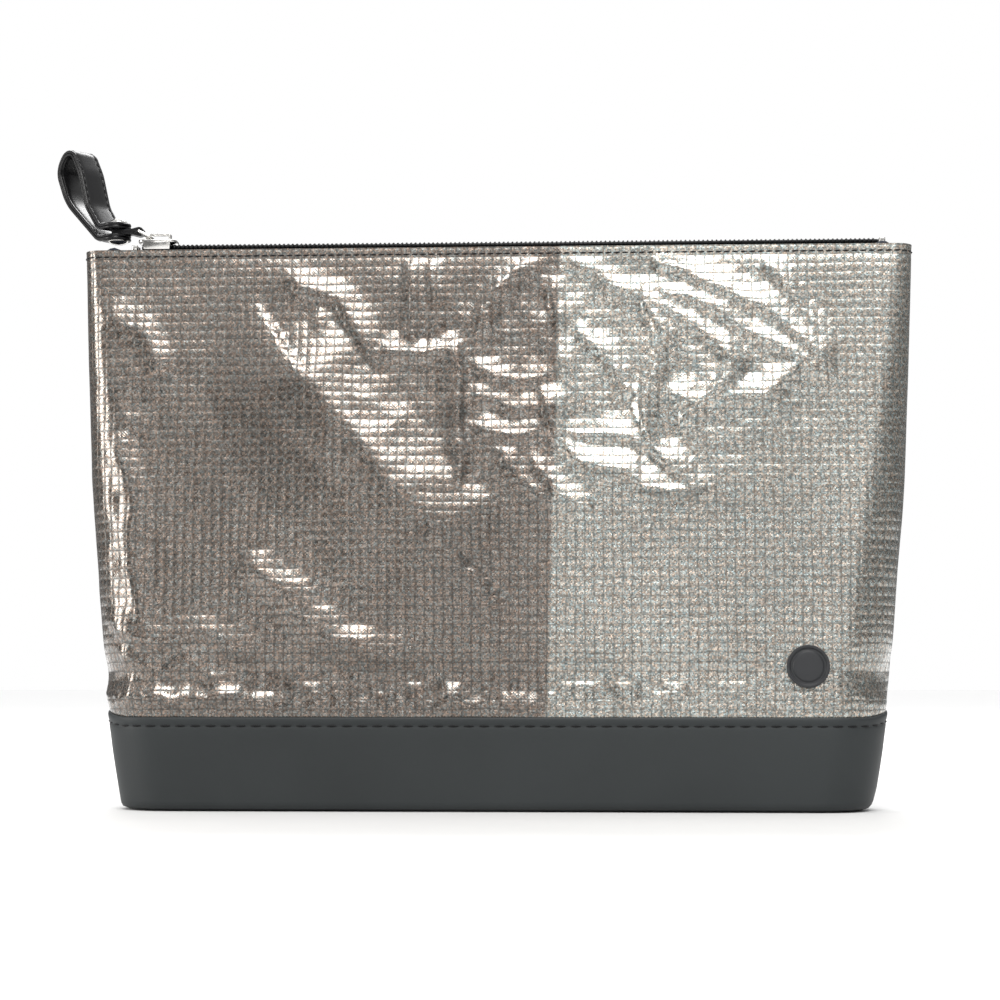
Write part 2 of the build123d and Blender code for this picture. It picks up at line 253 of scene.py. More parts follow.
# every fold: its height, how far its bright and its shaded side reach, and its line, all in millimetres
folds = [
    # left of the middle: the big pressed-in fold and the ridges above it
    (4.8, 21, 36, [(-60, 143), (-47, 125), (-36, 112), (-18, 93)]),
    (1.7, 8, 3, [(-66, 175), (-53, 170), (-48, 161), (-42, 151)]),
    (1.5, 6, 3, [(-60, 164), (-58, 150), (-55, 133)]),
    (1.4, 5, 3, [(-28, 183), (-27, 171), (-28, 159)]),
    (1.3, 5, 3, [(-21, 183), (-20, 172), (-21, 159)]),
    (1.6, 6, 3, [(-34, 153), (-24, 152), (-14, 154)]),
    (1.9, 7, 2.5, [(-11, 93), (-11, 120), (-12, 154)]),
    (1.5, 7, 4, [(11, 184), (-1, 172), (-4, 166)]),
    (1.2, 6, 3, [(-5, 146), (8, 142), (20, 145)]),
    (1.2, 6, 3, [(-4, 136), (8, 133), (20, 135)]),
    (1.1, 6, 3, [(-2, 126), (8, 124), (19, 127)]),
    (1.4, 6, 3, [(4, 115), (10, 108), (16, 103)]),
    # right of the middle: long ridges falling to the right, and the winding fold under them
    (1.4, 6, 3, [(20, 173), (22, 160), (22, 146)]),
    (1.3, 7, 3, [(28, 184), (35, 179), (43, 173)]),
    (2.3, 9, 3, [(56, 183), (62, 179), (71, 175), (84, 169), (97, 161), (107, 150)]),
    (2.0, 8, 3, [(57, 172), (75, 166), (84, 159), (106, 146)]),
    (2.0, 7, 3.5, [(51, 171), (64, 162), (74, 157), (79, 150), (76, 142), (64, 131)]),
    (1.9, 8, 4, [(63, 136), (76, 135), (90, 137), (100, 146)]),
    (2.1, 7, 3, [(50, 169), (56, 157), (53, 146), (48, 134), (52, 121), (59, 113), (66, 107)]),
    (1.7, 7, 3, [(27, 125), (38, 124), (49, 121)]),
    (2.2, 9, 3, [(17, 134), (22, 123), (29, 115), (43, 112), (48, 107), (66, 105)]),
    (1.5, 6, 3, [(14, 113), (21, 104), (29, 100)]),
    (1.5, 5, 3, [(92, 182), (101, 168), (111, 154)]),
    (1.3, 6, 3, [(30, 158), (38, 150), (45, 139)]),
    # the slanting fold low on the left, and the creases where the wall meets the band
    (2.7, 9, 8, [(-77, 79), (-66, 68), (-52, 57), (-34, 50)]),
    (1.3, 6, 4, [(-70, 66), (-60, 56), (-47, 49)]),
    (1.6, 6, 3, [(-121, 51), (-111, 46), (-102, 47)]),
    (1.4, 5, 3, [(-101, 48), (-93, 43), (-86, 43)]),
    (2.0, 9, 3, [(-124, 60), (-110, 55), (-96, 58), (-84, 52)]),
    (1.7, 6, 3, [(-126, 38), (-112, 37), (-98, 36), (-86, 38)]),
    (1.3, 7, 5, [(-128, 165), (-119, 160), (-114, 150)]),
    (1.4, 7, 5, [(-126, 120), (-120, 102), (-121, 80), (-116, 62)]),
]


# where the film is crumpled as well: how strongly, the middle, the half sizes, and the turn in degrees
frontCrumples = [(0.65, -26, 138, 42, 56, -35), (1, 60, 145, 56, 48, -8), (0.6, 10, 155, 34, 34, 0),
                 (0.8, -56, 62, 34, 13, -38), (0.8, -108, 45, 30, 12, 0), (0.7, -123, 110, 16, 70, 0)]
backCrumples = [(1, 40, 130, 60, 45, 20), (0.8, -60, 80, 50, 34, -25)]
backFolds = [(2.2, 10, 4, [(-70, 150), (-40, 120), (-20, 90)]), (2.2, 10, 4, [(20, 175), (50, 150), (90, 140)]),
             (1.8, 10, 4, [(60, 120), (40, 95), (50, 70)])]


def crumpled(u, v, places):
    return np.clip(sum(weight * patch(u, v, *place) for weight, *place in places), 0, 1)


def aroundLevel(v, level, spread):
    # 1 at a level, fading out above and below it
    return np.exp(-((v - level) / spread) ** 2)


def frontRelief(u, v):
    # how far the laminate stands out from its plain shape, in millimetres
    tall = np.zeros(u.shape)
    wander = 0.9 * smoothNoise(u, v, 9, 3)
    for height, lit, shaded, line in folds:
        tall = np.maximum(tall, height * creaseLine(u + wander, v + wander, line, lit, shaded))
    tall = tall + crumpled(u, v, frontCrumples) * (facets(u, v, 13, 11) + facets(u, v, 6.5, 12) * 0.45)
    tall = tall + 0.35 * smoothNoise(u, v, 26, 5) + 0.12 * smoothNoise(u, v, 8, 6)
    # puffed above the band: dented a little way up, then flared out over the leather
    dent = aroundLevel(v, 45, 6.0) * (2.2 + 0.6 * smoothNoise(u, v * 0, 17, 8))
    dent = dent + aroundLevel(v, 40, 3.0) * (0.5 * smoothNoise(u, v * 0, 6, 9) + 0.2)
    low = 0.35 + 0.65 * patch(u, v, -100, 39, 44, 26) + 0.8 * patch(u, v, 0, 38, 80, 20)
    low = aroundLevel(v, 39, 5.5) * low
    tall = tall - dent + low * (1.6 * facets(u, v, 6, 14) + 0.6 * facets(u, v, 3.6, 15))
    # nearly flat under the badge
    return tall * (0.25 + 0.75 * (1 - patch(u, v, 103, 47, 20, 20)))


def backRelief(u, v):
    tall = crumpled(u, v, backCrumples) * (facets(u, v, 15, 21) * 1.1 + facets(u, v, 7, 22) * 0.4)
    for height, lit, shaded, line in backFolds:
        tall = np.maximum(tall, height * creaseLine(u, v, line, lit, shaded))
    tall = tall + 0.4 * smoothNoise(u, v, 28, 25)
    return tall - aroundLevel(v, 46, 6.0) * (1.4 + 0.5 * smoothNoise(u, v * 0, 17, 28))


laminate = {"thickness": 0.6 * mm, "inset": 0.0, "columns": 262, "rows": 138, "stitchLevel": 186.6 * mm,
            "hem": 0.15 * mm, "groove": 0.22 * mm, "sewnEnd": 9 * mm, "calm": 4 * mm}
lining = {"thickness": 0.5 * mm, "inset": 1.5 * mm, "columns": 140, "rows": 70}


def wallSheet(name, relief, side, cloth, low, high, under=False):
    # one wall as a grid in rows from the bottom edge up; side is -1 at the front and 1 at the back,
    # and under is for the lining, which takes only the dents
    columns, rows, inset = cloth["columns"], cloth["rows"], cloth["inset"]
    share = np.linspace(0, 1, columns)
    spread = np.linspace(0, 1, rows)
    levels = low + (high - low) * (spread + 0.06 * np.sin(2 * math.pi * spread))
    points, uvs = [], []
    for level in levels:
        w, d = wallSize(level)
        if level < wallLevels[0]:
            # below the laminate the lining runs down inside the leather, which narrows towards the foot
            bandWidth, bandDepth = bandSize(level)
            w, d = min(w, bandWidth), min(d, bandDepth)
        x, y, nx, ny, u, length = halfOutline(w, d, share, inset)
        across = u if side < 0 else -u
        out = relief(across / mm, np.full(u.shape, level / mm)) * mm
        # flat where it is sewn: at the mouth, at the band and at both ends
        calm = laminate["calm"]
        hold = np.clip((high - 3 * mm - level) / calm, 0, 1) * np.clip((level - bandTop) / calm, 0, 1)
        out = out * hold * np.clip((length / 2 - np.abs(u)) / laminate["sewnEnd"], 0, 1)
        if under:
            out = np.minimum(out, 0)
        else:
            hem = aroundLevel(level, rimLevel - 0.9 * mm, 0.9 * mm) * laminate["hem"]
            out = out + hem - aroundLevel(level, laminate["stitchLevel"], 0.7 * mm) * laminate["groove"]
        points += list(zip(x + nx * out, (y + ny * out) * -side, np.full(u.shape, level)))
        uvs += list(zip(across, np.full(u.shape, level)))
    faces = []
    for r in range(rows - 1):
        for c in range(columns - 1):
            a = r * columns + c
            quad = (a, a + 1, a + columns + 1, a + columns)
            faces.append(quad if side < 0 else quad[::-1])
    piece = meshPiece(name, points, faces)
    setClothMap(piece, uvs)
    return piece


class Nodes:
    # shorthand for adding and joining shader nodes
    def __init__(self, tree):
        self.tree = tree

    def add(self, kind, **values):
        node = self.tree.nodes.new(kind)
        for key, value in values.items():
            setattr(node, key, value)
        return node

    def join(self, start, end):
        self.tree.links.new(start, end)

    def math(self, operation, a, b=None, clamp=False):
        node = self.add("ShaderNodeMath", operation=operation, use_clamp=clamp)
        for socket, value in ((node.inputs[0], a), (node.inputs[1], b)):
            if value is None:
                continue
            if isinstance(value, (int, float)):
                socket.default_value = value
            else:
                self.join(value, socket)
        return node.outputs[0]

    def mix(self, factor, a, b, blend="MIX"):
        node = self.add("ShaderNodeMix", data_type="RGBA", blend_type=blend)
        for socket, value in ((node.inputs[0], factor), (node.inputs[6], a), (node.inputs[7], b)):
            if isinstance(value, (int, float)):
                socket.default_value = value
            elif isinstance(value, (tuple, list)):
                socket.default_value = (*value[:3], 1)
            else:
                self.join(value, socket)
        return node.outputs[2]

    def grey(self, value):
        # one value as a colour
        node = self.add("ShaderNodeCombineColor")
        for socket in node.inputs[:3]:
            self.join(value, socket)
        return node.outputs[0]

    def apart(self, vector):
        # the three parts of a vector
        node = self.add("ShaderNodeSeparateXYZ")
        self.join(vector, node.inputs[0])
        return node.outputs

    def ramp(self, value, low, high, start=0.0, end=1.0):
        node = self.add("ShaderNodeMapRange")
        node.inputs["From Min"].default_value = low
        node.inputs["From Max"].default_value = high
        node.inputs["To Min"].default_value = start
        node.inputs["To Max"].default_value = end
        self.join(value, node.inputs["Value"])
        return node.outputs["Result"]

    def noise(self, vector, scale, detail=3.0, roughness=0.5):
        node = self.add("ShaderNodeTexNoise")
        node.inputs["Scale"].default_value = scale
        node.inputs["Detail"].default_value = detail
        node.inputs["Roughness"].default_value = roughness
        self.join(vector, node.inputs["Vector"])
        return node

    def bump(self, height, distance, strength=1.0, normal=None):
        node = self.add("ShaderNodeBump")
        node.inputs["Distance"].default_value = distance
        node.inputs["Strength"].default_value = strength
        self.join(height, node.inputs["Height"])
        if normal is not None:
            self.join(normal, node.inputs["Normal"])
        return node.outputs["Normal"]


def newMaterial(name, **values):
    # values are Principled sockets, with their names' spaces as underscores
    material = bpy.data.materials.new(name)
    material.use_nodes = True
    material.node_tree.nodes.clear()
    kit = Nodes(material.node_tree)
    shader = kit.add("ShaderNodeBsdfPrincipled")
    output = kit.add("ShaderNodeOutputMaterial")
    kit.join(shader.outputs[0], output.inputs[0])
    for key, value in values.items():
        socket = shader.inputs[key.replace("_", " ")]
        socket.default_value = (*value, 1) if isinstance(value, tuple) and len(value) == 3 else value
    return material, kit, shader


def newGroup(name, inputs, outputs):
    group = bpy.data.node_groups.new(name, "ShaderNodeTree")
    for label, kind, value in inputs:
        socket = group.interface.new_socket(name=label, in_out="INPUT", socket_type=kind)
        if value is not None:
            socket.default_value = value
    for label, kind in outputs:
        group.interface.new_socket(name=label, in_out="OUTPUT", socket_type=kind)
    kit = Nodes(group)
    return group, kit, kit.add("NodeGroupInput"), kit.add("NodeGroupOutput")


def useGroup(kit, group, vector, **values):
    node = kit.add("ShaderNodeGroup", node_tree=group)
    kit.join(vector, node.inputs["Vector"])
    for key, value in values.items():
        node.inputs[key].default_value = value
    return node


# woven threads: over and under, for linings, tapes and bindings
weaveGroup, kit, given, result = newGroup(
    "woven threads",
    [("Vector", "NodeSocketVector", None), ("Pitch", "NodeSocketFloat", 1 * mm),
     ("Slant", "NodeSocketFloat", 0.0)],
    [("Height", "NodeSocketFloat"), ("Tone", "NodeSocketFloat")])
across, up, _ = kit.apart(given.outputs["Vector"])
slanted = kit.math("ADD", across, kit.math("MULTIPLY", up, given.outputs["Slant"]))
warp = kit.math("MULTIPLY", kit.math("DIVIDE", slanted, given.outputs["Pitch"]), math.pi)
weft = kit.math("MULTIPLY", kit.math("DIVIDE", up, given.outputs["Pitch"]), math.pi)
over = kit.math("MULTIPLY", kit.math("SINE", warp), kit.math("SINE", weft))
kit.join(kit.ramp(over, -1, 1), result.inputs["Height"])
# the Tone output is painted shade of the weave, darker where a thread dips under and paler where it lies over,
# times a random speckle of fibre tone
speckle = kit.ramp(kit.noise(given.outputs["Vector"], 900, 2).outputs["Fac"], 0.3, 0.7, 0.7, 1.2)
kit.join(kit.math("MULTIPLY", kit.ramp(over, -1, 1, 0.6, 1.1), speckle), result.inputs["Tone"])

# leather grain: small pebbles with creases between them
grainGroup, kit, given, result = newGroup(
    "leather grain",
    [("Vector", "NodeSocketVector", None), ("Scale", "NodeSocketFloat", 1500.0)],
    [("Height", "NodeSocketFloat"), ("Tone", "NodeSocketFloat")])
pebble = kit.add("ShaderNodeTexVoronoi", feature="SMOOTH_F1")
kit.join(given.outputs["Vector"], pebble.inputs["Vector"])
kit.join(given.outputs["Scale"], pebble.inputs["Scale"])
broad = kit.noise(given.outputs["Vector"], 14, 3)
fine = kit.noise(given.outputs["Vector"], 2500, 2)
kit.join(kit.math("ADD", kit.math("MULTIPLY", pebble.outputs["Distance"], -1.0),
                  kit.math("MULTIPLY", fine.outputs["Fac"], 0.3)), result.inputs["Height"])
kit.join(broad.outputs["Fac"], result.inputs["Tone"])


def clothVector(kit):
    return kit.add("ShaderNodeUVMap", uv_map="cloth").outputs["UV"]


def placeVector(kit):
    return kit.add("ShaderNodeTexCoord").outputs["Object"]


film = {
    "yarnPitch": 3.1 * mm,
    "cellDepth": 0.12 * mm,
    "sparkPitch": 0.5 * mm,
    # the dark and pale sides of the front's painted reflection; the dark one is also one end of the back's
    # cloud
    "darkTone": (0.148, 0.127, 0.116),
    "lightTone": (0.275, 0.262, 0.248),
    "backTone": (0.32, 0.30, 0.285),
    "reflectionEdge": 17.0 * mm,  # where the dark and pale sides of the painted reflection meet at the foot, and how much further right for each metre up
    "reflectionLean": 0.028,
    "wander": 1.2 * mm,  # how far the yarns stray from a straight grid
    "sparkle": (0.62, 1.85),
    "sparkleCool": (0.72, 1.04, 1.16),
    "sparkleWarm": (1.24, 1.0, 0.80),
}


def laminateMaterial(name, reflectedSplit):
    material, kit, shader = newMaterial(name, Metallic=0.88, Coat_Weight=0.55, Coat_Roughness=0.16)
    cloth = clothVector(kit)
    place = placeVector(kit)
    # the grid of yarns, with a pillow of film between them
    drift = kit.noise(cloth, 70, 2)
    offset = kit.add("ShaderNodeVectorMath", operation="MULTIPLY_ADD")
    kit.join(drift.outputs["Color"], offset.inputs[0])
    offset.inputs[1].default_value = (film["wander"], film["wander"], 0)
    kit.join(cloth, offset.inputs[2])
    cells = []
    for part in kit.apart(offset.outputs[0])[:2]:
        wave = kit.math("SINE", kit.math("MULTIPLY", part, math.pi / film["yarnPitch"]))
        cells.append(kit.math("POWER", kit.math("ABSOLUTE", wave), 0.6))
    pillow = kit.math("MULTIPLY", cells[0], cells[1])
    # random glints, one for each little window of film between the fine threads
    window = kit.add("ShaderNodeTexVoronoi", distance="CHEBYCHEV")
    window.inputs["Scale"].default_value = 1 / film["sparkPitch"]
    window.inputs["Randomness"].default_value = 0.55
    kit.join(cloth, window.inputs["Vector"])
    glint = kit.add("ShaderNodeSeparateColor")
    kit.join(window.outputs["Color"], glint.inputs[0])
    threads = useGroup(kit, weaveGroup, cloth, Pitch=0.52 * mm)
    # the front is darker on the left and paler on the right, a painted reflection of a dark card's edge in the
    # film, and the back is cloudy between the two
    if reflectedSplit:
        x, _, z = kit.apart(place)
        edge = kit.math("ADD", kit.math("MULTIPLY", z, film["reflectionLean"]), film["reflectionEdge"])
        # the pale side of the painted reflection, soft over 1.2 millimetres
        right = kit.ramp(kit.math("SUBTRACT", x, edge), -0.6 * mm, 0.6 * mm)
        base = kit.mix(right, film["darkTone"], film["lightTone"])
    else:
        broad = kit.ramp(kit.noise(place, 9, 2).outputs["Fac"], 0.35, 0.65)
        base = kit.mix(broad, film["darkTone"], film["backTone"])
    cloud = kit.ramp(kit.noise(place, 16, 4, 0.6).outputs["Fac"], 0.3, 0.7)
    base = kit.mix(1.0, base, kit.mix(cloud, (0.82, 0.81, 0.80), (1.18, 1.17, 1.16)), "MULTIPLY")
    base = kit.mix(0.75, base, kit.mix(glint.outputs[1], film["sparkleCool"], film["sparkleWarm"]), "MULTIPLY")
    brightness = kit.ramp(kit.math("POWER", glint.outputs[0], 1.6), 0, 1, *film["sparkle"])
    base = kit.mix(1.0, base, kit.grey(brightness), "MULTIPLY")
    base = kit.mix(1.0, base, kit.grey(kit.ramp(pillow, 0.12, 0.5, 0.58, 1.0)), "MULTIPLY")
    kit.join(base, shader.inputs["Base Color"])
    # the yarns under the film scatter more than the windows between them
    scatter = kit.ramp(pillow, 0.15, 0.55, 0.26, 0.0)
    kit.join(kit.math("ADD", kit.ramp(glint.outputs[2], 0, 1, 0.17, 0.30), scatter), shader.inputs["Roughness"])
    fineHeight = kit.math("ADD", kit.math("MULTIPLY", threads.outputs["Height"], 0.5),
                          kit.math("MULTIPLY", window.outputs["Distance"], 0.9))
    normal = kit.bump(fineHeight, 0.04 * mm, 0.7)
    normal = kit.bump(pillow, film["cellDepth"], 1.0, normal)
    kit.join(normal, shader.inputs["Normal"])
    kit.join(normal, shader.inputs["Coat Normal"])
    return material


laminateFront = laminateMaterial("laminate front", True)
laminateBack = laminateMaterial("laminate back", False)


def toned(colour, amount):
    return tuple(min(1, part * amount) for part in colour)


def leatherMaterial(name, colour, polish, roughness, scale, gloss):
    material, kit, shader = newMaterial(name, Specular_IOR_Level=gloss, Coat_Weight=polish, Coat_Roughness=0.2)
    grain = useGroup(kit, grainGroup, placeVector(kit), Scale=scale)
    tone = kit.ramp(grain.outputs["Tone"], 0.3, 0.7)
    kit.join(kit.mix(tone, toned(colour, 0.88), toned(colour, 1.15)), shader.inputs["Base Color"])
    dull = kit.ramp(grain.outputs["Tone"], 0.25, 0.75, roughness + 0.06, roughness - 0.05)
    kit.join(dull, shader.inputs["Roughness"])
    kit.join(kit.bump(grain.outputs["Height"], 0.02 * mm, 0.6), shader.inputs["Normal"])
    return material


bandLeather = leatherMaterial("band leather", (0.0215, 0.0245, 0.0255), 0.0, 0.5, 1800, 0.22)
strapLeather = leatherMaterial("strap leather", (0.0025, 0.0025, 0.003), 0.12, 0.34, 1500, 0.2)


def wovenMaterial(name, colour, pitch, roughness, slant=0.0, cloth=True):
    material, kit, shader = newMaterial(name, Sheen_Weight=0.06, Specular_IOR_Level=0.25)
    vector = clothVector(kit) if cloth else placeVector(kit)
    threads = useGroup(kit, weaveGroup, vector, Pitch=pitch, Slant=slant)
    tone = threads.outputs["Tone"]
    # the cloth's colour, with painted shade in the dips of the weave from the Tone output
    threadToneAndShade = kit.mix(kit.ramp(tone, 0.5, 1.3), toned(colour, 0.5), toned(colour, 1.7))
    kit.join(threadToneAndShade, shader.inputs["Base Color"])
    kit.join(kit.ramp(tone, 0.5, 1.3, roughness + 0.1, roughness - 0.1), shader.inputs["Roughness"])
    kit.join(kit.bump(threads.outputs["Height"], pitch * 0.25, 0.9), shader.inputs["Normal"])
    return material


liningCloth = wovenMaterial("glass-fibre lining", (0.16, 0.16, 0.165), 0.9 * mm, 0.6)
tapeCloth = wovenMaterial("zip tape cloth", (0.010, 0.013, 0.022), 0.55 * mm, 0.75, 0.7)
bindingCloth = wovenMaterial("binding tape", (0.02, 0.02, 0.022), 0.8 * mm, 0.8, cloth=False)


def threadMaterial(name, colour):
    material, kit, shader = newMaterial(name, Sheen_Weight=0.05, Specular_IOR_Level=0.15)
    twist = kit.add("ShaderNodeTexWave", bands_direction="DIAGONAL")
    twist.inputs["Scale"].default_value = 900
    twist.inputs["Distortion"].default_value = 1.5
    kit.join(placeVector(kit), twist.inputs["Vector"])
    # darker in the grooves of the twist, where the bump is low: painted shade
    kit.join(kit.mix(twist.outputs["Fac"], toned(colour, 0.5), toned(colour, 1.6)), shader.inputs["Base Color"])
    kit.join(kit.ramp(twist.outputs["Fac"], 0, 1, 0.65, 0.5), shader.inputs["Roughness"])
    kit.join(kit.bump(twist.outputs["Fac"], 0.05 * mm, 0.8), shader.inputs["Normal"])
    return material


blackThread = threadMaterial("black thread", (0.004, 0.004, 0.0045))


def hardMaterial(name, colour, metallic, low, high, scratch, gloss=0.5):
    # moulded or plated pieces: faint cloudiness in the colour, fine scuffs in the shine
    material, kit, shader = newMaterial(name, Metallic=metallic, Specular_IOR_Level=gloss)
    place = placeVector(kit)
    cloud = kit.noise(place, 220, 4).outputs["Fac"]
    scuff = kit.noise(place, 3000, 2)
    tone = kit.mix(kit.ramp(cloud, 0.3, 0.7), toned(colour, 0.88), toned(colour, 1.08))
    kit.join(tone, shader.inputs["Base Color"])
    kit.join(kit.ramp(cloud, 0.3, 0.7, low, high), shader.inputs["Roughness"])
    kit.join(kit.bump(scuff.outputs["Fac"], scratch, 0.5), shader.inputs["Normal"])
    return material


nickel = hardMaterial("nickel plate", (0.60, 0.59, 0.57), 1.0, 0.12, 0.24, 0.01 * mm)
nylon = hardMaterial("black nylon", (0.004, 0.0045, 0.005), 0.0, 0.3, 0.42, 0.01 * mm, 0.22)
badgeSatin = hardMaterial("badge satin", (0.016, 0.017, 0.019), 0.0, 0.34, 0.46, 0.01 * mm, 0.35)
boardFibre = hardMaterial("fibre board", (0.08, 0.08, 0.085), 0.0, 0.8, 0.95, 0.1 * mm)
print("materials made")


def makeWalls():
    walls = (("front", frontRelief, -1, laminateFront), ("back", backRelief, 1, laminateBack))
    for word, relief, side, material in walls:
        name, node = word + "_laminate", word + "_panel"
        piece = wallSheet(name, relief, side, laminate, wallLevels[0], rimLevel)
        thicken(piece, laminate["thickness"])
        finishPiece(piece, name, "bag", material, [node], smooth=50)
    for word, relief, side, _ in walls:
        name, node = word + "_lining", "lining_" + word
        low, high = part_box(node)[0].z + lining["inset"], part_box(node)[1].z
        piece = wallSheet(name, relief, side, lining, low, high, under=True)
        thicken(piece, lining["thickness"])
        finishPiece(piece, name, "bag", liningCloth, [node], smooth=50)


def ringSheet(name, width, depth, level, thickness, crown, rings=9, columns=96):
    # a flat piece with the pouch's rounded outline, made in rings from its middle line to its edge
    share = np.linspace(0, 1, columns)
    points, uvs = [], []
    for ring in range(rings + 1):
        grow = ring / rings
        x, y, _, _, _, _ = halfOutline(width, depth, share)
        fx = np.concatenate([x, x[::-1][1:-1]])
        fy = np.concatenate([y, -y[::-1][1:-1]])
        core = np.clip(fx, -(width - depth), width - depth)
        px, py = core + (fx - core) * grow, fy * grow
        points += [(a, b, level + crown * (1 - grow ** 2)) for a, b in zip(px, py)]
        uvs += list(zip(px, py))
    count = 2 * columns - 2
    faces = []
    for ring in range(rings):
        for c in range(count):
            a, b = ring * count + c, ring * count + (c + 1) % count
            faces.append((a, a + count, b + count, b))
    piece = meshPiece(name, points, faces)
    setClothMap(piece, uvs)
    faceOutwards(piece)
    if sum(f.normal.z for f in piece.data.polygons) < 0:
        piece.data.flip_normals()
    thicken(piece, thickness)
    return piece


floorRoom = 3.6 * mm  # the floor pieces stop short of the ends, where the leather has slumped


def makeFloor():
    _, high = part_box("lining_base")
    width, depth = high.x - floorRoom, high.y - 0.4 * mm
    cloth = ringSheet("floor_lining", width, depth, high.z, lining["thickness"], 0.25 * mm)
    finishPiece(cloth, "floor_lining", "bag", liningCloth, ["lining_base"])
    low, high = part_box("base_board")
    board = ringSheet("floor_board", high.x - floorRoom, high.y - 0.6 * mm, high.z, high.z - low.z, 0.0)
    finishPiece(board, "floor_board", "bag", boardFibre, ["base_board"])
    _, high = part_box("base_panel")
    under = ringSheet("base_leather", high.x, high.y, high.z, high.z - 0.05 * mm, 0.0)
    finishPiece(under, "base_leather", "bag", bandLeather, ["base_panel"])


band = {"thickness": 1.3 * mm, "turnUnder": 9 * mm, "columns": 240, "endRise": 2.4 * mm, "endReach": 24 * mm,
        "riseFrom": 20 * mm, "slump": 2.8 * mm, "slumpHeight": 7 * mm, "stitchLevel": 28.05 * mm}


def bandSection():
    # level and inset in millimetres: from under the base, up the outer side, over the rolled edge and back down
    top = bandTop / mm
    t = band["thickness"] / mm
    under = band["turnUnder"] / mm
    groove = band["stitchLevel"] / mm
    outer = [(0, under), (0, 6), (0, 3.2), (0.1, 2), (0.45, 1), (1.1, 0.36), (2.1, 0.06), (3.4, 0), (8, -0.05),
             (14, -0.1), (20, -0.08), (24.5, -0.02), (groove - 1.1, 0), (groove - 0.5, 0.1), (groove, 0.26),
             (groove + 0.5, 0.1), (groove + 1, 0)]
    edge = [(top - 1.2, -0.04), (top - 0.55, 0.05), (top - 0.16, 0.26), (top, 0.62), (top - 0.16, 0.98),
            (top - 0.6, 1.2)]
    inner = [(top - 1.6, t), (20, t), (8, t), (3, t), (1.8, t + 0.5), (t, t + 1.6), (t, 6), (t, under)]
    return [(level * mm, inset * mm) for level, inset in outer + edge + inner]


def bandRise(u, length, level):
    # the band climbs a little at both ends, where the laminate lifts
    end = np.clip(1 - (length / 2 - np.abs(u)) / band["endReach"], 0, 1)
    climb = np.clip((level - band["riseFrom"]) / (bandTop - band["riseFrom"]), 0, 1)
    return end * end * (3 - 2 * end) * band["endRise"] * climb


def makeBands():
    section = bandSection()
    share = np.linspace(0, 1, band["columns"])
    for name, side, node in (("front_band", -1, "base_band_front"), ("back_band", 1, "base_band_back")):
        points = []
        for level, inset in section:
            w, d = bandSize(level)
            x, y, _, _, u, length = halfOutline(w, d, share, inset)
            # the leather has slumped to a rounder foot at the right end
            end = np.clip(1 - (length / 2 - np.abs(u)) / band["endReach"], 0, 1)
            x = x - end * end * (u > 0) * max(0, 1 - level / band["slumpHeight"]) ** 2 * band["slump"]
            points += list(zip(x, y * -side, level + bandRise(u, length, level)))
        columns, count = band["columns"], len(section)
        faces = []
        for r in range(count):
            for c in range(columns - 1):
                a, b = r * columns + c, ((r + 1) % count) * columns + c
                faces.append((a, a + 1, b + 1, b))
        for c in (0, columns - 1):
            faces.append(tuple(r * columns + c for r in range(count)))
        piece = meshPiece(name, points, faces)
        faceOutwards(piece, finestGap)
        finishPiece(piece, name, "bag", bandLeather, [node], smooth=60)


def makeStitch(length, thickness):
    deselectAll()
    bpy.ops.mesh.primitive_uv_sphere_add(segments=6, ring_count=6, radius=0.5)
    stitch = bpy.context.object
    stitch.scale = (length, thickness, thickness * 0.8)
    bpy.ops.object.transform_apply(location=False, rotation=False, scale=True)
    # both ends dive into the cloth
    for v in stitch.data.vertices:
        v.co.z -= thickness * 0.35 * (2 * v.co.x / length) ** 4
    return stitch


def placeCopies(master, places, name):
    # one small mesh at every place, joined as one piece
    copies = []
    for place in places:
        copy = bpy.data.objects.new(name, master.data.copy())
        copy.data.transform(place)
        bpy.context.scene.collection.objects.link(copy)
        copies.append(copy)
    bpy.data.objects.remove(master)
    row = joinPieces(copies)
    faceOutwards(row, finestGap)
    return row


def basis(origin, along, out):
    # the place that lays a piece's length along one way and its top the other
    along = Vector(along).normalized()
    out = Vector(out)
    out = (out - along * out.dot(along)).normalized()
    side = out.cross(along)
    turn = Matrix((along, side, out)).transposed().to_4x4()
    return Matrix.Translation(origin) @ turn


def rowPlaces(sizeAt, level, pitch, side, inset, climbs=False, tilt=0.05):
    # evenly along one wall at one level; climbs is for a row that rises with the band
    w, d = sizeAt(level)
    _, _, _, _, _, length = halfOutline(w, d, [0.5], inset)
    count = int(length / pitch) - 1
    share = (np.arange(count) + 0.5) / count
    x, y, nx, ny, u, _ = halfOutline(w, d, share, inset)
    places = []
    for i in range(count):
        tangent = Vector((-ny[i], nx[i], tilt))
        rise = bandRise(u[i], length, level) if climbs else 0.0
        place = basis(Vector((x[i], y[i], level + rise)), tangent, Vector((nx[i], ny[i], 0)))
        if side > 0:
            place = Matrix.Diagonal((1, -1, 1, 1)) @ place
        places.append(place)
    return places


stitches = {"mouthPitch": 2.8 * mm, "mouthLength": 2.5 * mm, "bandPitch": 4.9 * mm, "bandLength": 3.9 * mm,
            "thread": 0.62 * mm, "strapPitch": 2.7 * mm, "strapLength": 2.0 * mm}


